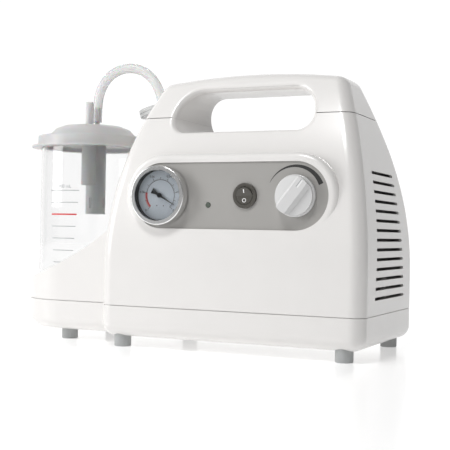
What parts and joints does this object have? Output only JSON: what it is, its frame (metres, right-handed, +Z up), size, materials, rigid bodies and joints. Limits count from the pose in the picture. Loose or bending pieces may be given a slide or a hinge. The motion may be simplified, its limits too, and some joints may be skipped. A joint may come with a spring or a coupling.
{
  "type": "suction pump",
  "caption": "Portable medical suction pump: white casing with a carrying handle, vacuum gauge, rocker switch and regulator knob, beside a lidded clear collection jar with a looped hose.",
  "frame": {"origin": "on the floor under the middle of the unit's overall box", "axes": "+Z up, -Y the front with the controls, +X the side with the vents, the jar at -X"},
  "size_m": [0.3874, 0.1806, 0.2882],
  "materials": {
    "casing_white": "glossy moulded ABS",
    "foot_rubber": "light grey rubber",
    "steel": "plated steel",
    "panel_silver": "satin silver-grey paint",
    "black_plastic": "black moulded plastic",
    "gauge_rim": "bright plated rim",
    "clear_plastic": "clear moulded lens",
    "dial_face": "printed white dial",
    "pointer_black": "black paint",
    "brass": "turned brass",
    "switch_black": "charcoal plastic",
    "lamp_green": "unlit lens",
    "knob_white": "satin light grey plastic",
    "jar_clear": "clear polycarbonate",
    "lid_white": "translucent grey-white plastic",
    "seal_silicone": "silicone",
    "float_white": "white plastic",
    "filter_grey": "grey-white plastic",
    "membrane": "filter felt",
    "hose_silicone": "translucent silicone",
    "stator_iron": "laminated iron",
    "copper": "enamelled copper wire",
    "cast_aluminium": "die-cast aluminium",
    "diaphragm_rubber": "black rubber"
  },
  "bodies": {
    "root": {"base_tray": "casing_white", "main_housing": "casing_white", "handle_cover": "casing_white", "handle_grip": "casing_white", "feet": "foot_rubber", "foot_screws": "steel", "casing_screws": "steel", "control_panel": "panel_silver", "gauge_case": "black_plastic", "gauge_bezel": "gauge_rim", "gauge_lens": "clear_plastic", "gauge_dial": "dial_face", "gauge_movement": "brass", "bourdon_tube": "brass", "gauge_socket": "brass", "switch_bezel": "switch_black", "indicator_lens": "lamp_green", "regulator_valve_body": "brass", "regulator_nut": "steel", "suction_elbow": "filter_grey", "elbow_nut": "black_plastic", "power_inlet": "black_plastic", "pump_plate": "steel", "rubber_mounts": "foot_rubber", "mount_screws": "steel", "motor_stator": "stator_iron", "motor_windings": "copper", "motor_front_bracket": "cast_aluminium", "motor_rear_bracket": "cast_aluminium", "motor_tie_bolts": "steel", "shaft_bearings": "steel", "diaphragm": "diaphragm_rubber", "crankcase": "cast_aluminium", "valve_plate": "cast_aluminium", "valve_flaps": "steel", "pump_head": "cast_aluminium", "exhaust_muffler": "black_plastic"},
    "jar": {"jar": "jar_clear"},
    "lid": {"jar_lid": "lid_white", "lid_seal": "seal_silicone", "splash_tube": "lid_white", "float_cage": "lid_white", "hose": "hose_silicone", "filter_upper_half": "filter_grey", "filter_membrane": "membrane", "filter_lower_half": "filter_grey"},
    "float": {"float": "float_white", "float_seal": "seal_silicone"},
    "pointer": {"gauge_pointer": "pointer_black"},
    "rocker": {"switch_rocker": "switch_black"},
    "knob": {"regulator_knob": "knob_white", "regulator_stem": "steel"},
    "rotor": {"motor_shaft": "steel", "rotor_core": "stator_iron", "cooling_fan": "black_plastic", "eccentric": "steel"},
    "rod": {"rod_bearing": "steel", "connecting_rod": "cast_aluminium", "diaphragm_clamp": "cast_aluminium"}
  },
  "joints": [
    {"name": "jar_lift", "type": "slide", "parent": "root", "child": "jar", "axis": [0, 0, 1], "range_m": [0, 0.12]},
    {"name": "lid_lift", "type": "slide", "parent": "jar", "child": "lid", "axis": [0, 0, 1], "range_m": [0, 0.09]},
    {"name": "float_rise", "type": "slide", "parent": "lid", "child": "float", "axis": [0, 0, 1], "range_m": [0, 0.013]},
    {"name": "gauge_needle", "type": "hinge", "parent": "root", "child": "pointer", "pos_m": [-0.00325, -0.07875, 0.1433], "axis": [0, -1, 0], "range_deg": [-15, 255]},
    {"name": "power_rocker", "type": "hinge", "parent": "root", "child": "rocker", "pos_m": [0.08125, -0.07975, 0.1433], "axis": [-1, 0, 0], "range_deg": [0, 20]},
    {"name": "vacuum_knob", "type": "hinge", "parent": "root", "child": "knob", "pos_m": [0.12975, -0.07875, 0.1433], "axis": [0, -1, 0], "range_deg": [-28, 103]},
    {"name": "motor_spin", "type": "hinge", "parent": "root", "child": "rotor", "pos_m": [0.03425, 0.01525, 0.078], "axis": [1, 0, 0], "continuous": true},
    {"name": "crank_pin", "type": "hinge", "parent": "rotor", "child": "rod", "pos_m": [0.03425, 0.01525, 0.081], "axis": [1, 0, 0], "continuous": true, "deforming": ["diaphragm"]}
  ],
  "couplings": [
    {"joint": "crank_pin", "follows": "motor_spin", "ratio": -1}
  ]
}
